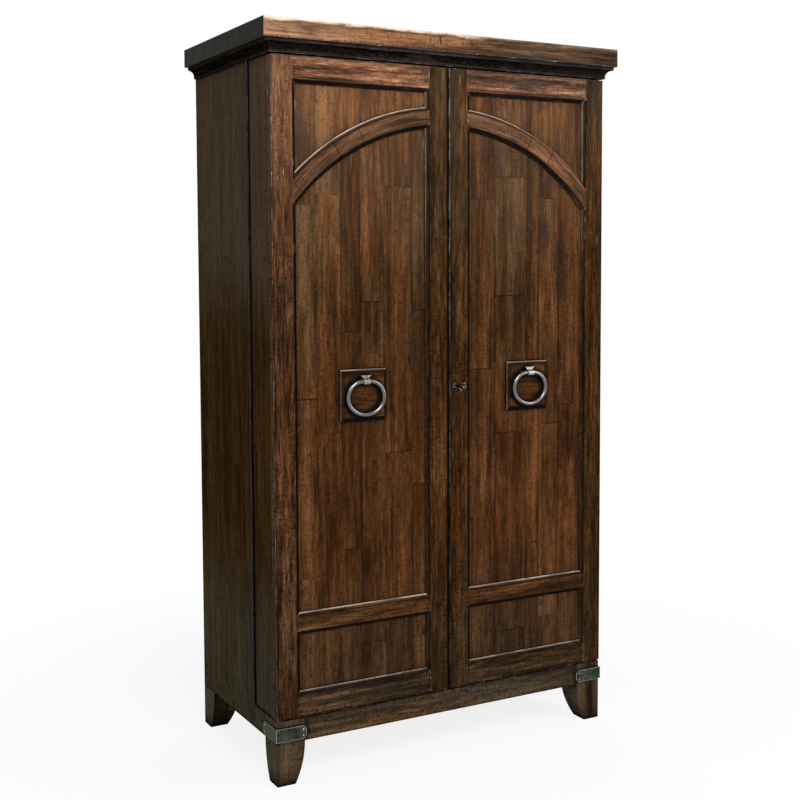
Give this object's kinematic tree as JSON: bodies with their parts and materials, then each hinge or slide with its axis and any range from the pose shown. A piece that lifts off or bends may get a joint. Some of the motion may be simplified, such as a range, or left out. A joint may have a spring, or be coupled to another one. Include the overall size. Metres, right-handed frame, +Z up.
{
  "type": "bar armoire",
  "caption": "Tall dark-stained wooden bar armoire with deep arched frame-and-panel doors, ring pulls, a keyed lock, a moulded cornice and tapered feet with metal corner straps.",
  "frame": {"origin": "centre of the bounding box's footprint, on the floor", "axes": "+Z up, +Y to the back, +X to the viewer's right when facing the doors"},
  "size_m": [1.074, 0.6, 1.923],
  "materials": {
    "frame_wood": "distressed dark walnut stain with worn red-brown edges",
    "panel_wood": "dark walnut stain over random-length planks",
    "side_wood": "dark walnut stain, vertical grain",
    "cornice_wood": "dark walnut stain, glazed hollows",
    "slab_wood": "worn walnut stain with paler rubbed edges",
    "interior_wood": "satin walnut stain",
    "back_wood": "plain stained plywood",
    "strap_metal": "gunmetal with rubbed pale edges",
    "pull_metal": "satin nickel, darkened in the hollows",
    "rail_metal": "satin nickel rod",
    "hinge_metal": "oil-rubbed dark bronze",
    "key_metal": "antiqued pale brass",
    "lock_metal": "plain steel"
  },
  "bodies": {
    "case": {"left_front_leg": "frame_wood", "right_front_leg": "frame_wood", "rear_legs": "frame_wood", "front_apron": "frame_wood", "left_corner_strap": "strap_metal", "right_corner_strap": "strap_metal", "strap_nails": "strap_metal", "left_side": "side_wood", "right_side": "side_wood", "bottom_board": "interior_wood", "back_panel": "back_wood", "top_board": "interior_wood", "front_cornice": "cornice_wood", "left_cornice": "cornice_wood", "right_cornice": "cornice_wood", "top_slab": "slab_wood", "hinge_case_leaves": "hinge_metal", "hinge_pins": "hinge_metal", "bar_counter": "interior_wood", "centre_divider": "interior_wood", "lower_shelf": "interior_wood", "upper_shelf": "interior_wood", "wine_rack_rails": "interior_wood", "stemware_rails": "interior_wood"},
    "left_door": {"left_door_top_rail": "frame_wood", "left_door_bottom_rail": "frame_wood", "left_door_mid_rail": "frame_wood", "left_door_panel": "panel_wood", "left_door_arch": "frame_wood", "left_door_hinge_stile": "frame_wood", "left_door_meeting_stile": "frame_wood", "left_door_hinge_wall": "side_wood", "left_door_meeting_wall": "side_wood", "left_door_end_boards": "interior_wood", "left_door_shelves": "interior_wood", "left_door_guard_rails": "rail_metal", "left_pull_plate": "frame_wood", "left_ring_hanger": "pull_metal", "left_hinge_door_leaf": "hinge_metal"},
    "right_door": {"right_door_top_rail": "frame_wood", "right_door_bottom_rail": "frame_wood", "right_door_mid_rail": "frame_wood", "right_door_panel": "panel_wood", "right_door_arch": "frame_wood", "right_door_hinge_stile": "frame_wood", "right_door_meeting_stile": "frame_wood", "right_door_hinge_wall": "side_wood", "right_door_meeting_wall": "side_wood", "right_door_end_boards": "interior_wood", "right_door_shelves": "interior_wood", "right_door_guard_rails": "rail_metal", "right_pull_plate": "frame_wood", "right_ring_hanger": "pull_metal", "right_hinge_door_leaf": "hinge_metal", "lock_case": "lock_metal", "keyhole_escutcheon": "key_metal"},
    "left_ring": {"left_pull_ring": "pull_metal"},
    "right_ring": {"right_pull_ring": "pull_metal"},
    "key": {"key": "key_metal"},
    "bolt": {"lock_bolt": "lock_metal"}
  },
  "joints": [
    {"name": "left_door_hinge", "type": "hinge", "parent": "case", "child": "left_door", "pos_m": [-0.5115, -0.098, 1], "axis": [0, 0, -1], "range_deg": [0, 170]},
    {"name": "right_door_hinge", "type": "hinge", "parent": "case", "child": "right_door", "pos_m": [0.5115, -0.098, 1], "axis": [0, 0, 1], "range_deg": [0, 170]},
    {"name": "left_ring_swing", "type": "hinge", "parent": "left_door", "child": "left_ring", "pos_m": [-0.25488, -0.25015, 1.024], "axis": [-1, 0, 0], "range_deg": [0, 165]},
    {"name": "right_ring_swing", "type": "hinge", "parent": "right_door", "child": "right_ring", "pos_m": [0.25488, -0.25015, 1.024], "axis": [-1, 0, 0], "range_deg": [0, 165]},
    {"name": "key_turn", "type": "hinge", "parent": "right_door", "child": "key", "pos_m": [0.014, -0.2, 1], "axis": [0, -1, 0], "range_deg": [0, 180]},
    {"name": "bolt_slide", "type": "slide", "parent": "right_door", "child": "bolt", "axis": [-1, 0, 0], "range_m": [0, 0.0115]}
  ],
  "couplings": [
    {"joint": "bolt_slide", "follows": "key_turn", "m_per_rad": 0.00318}
  ]
}
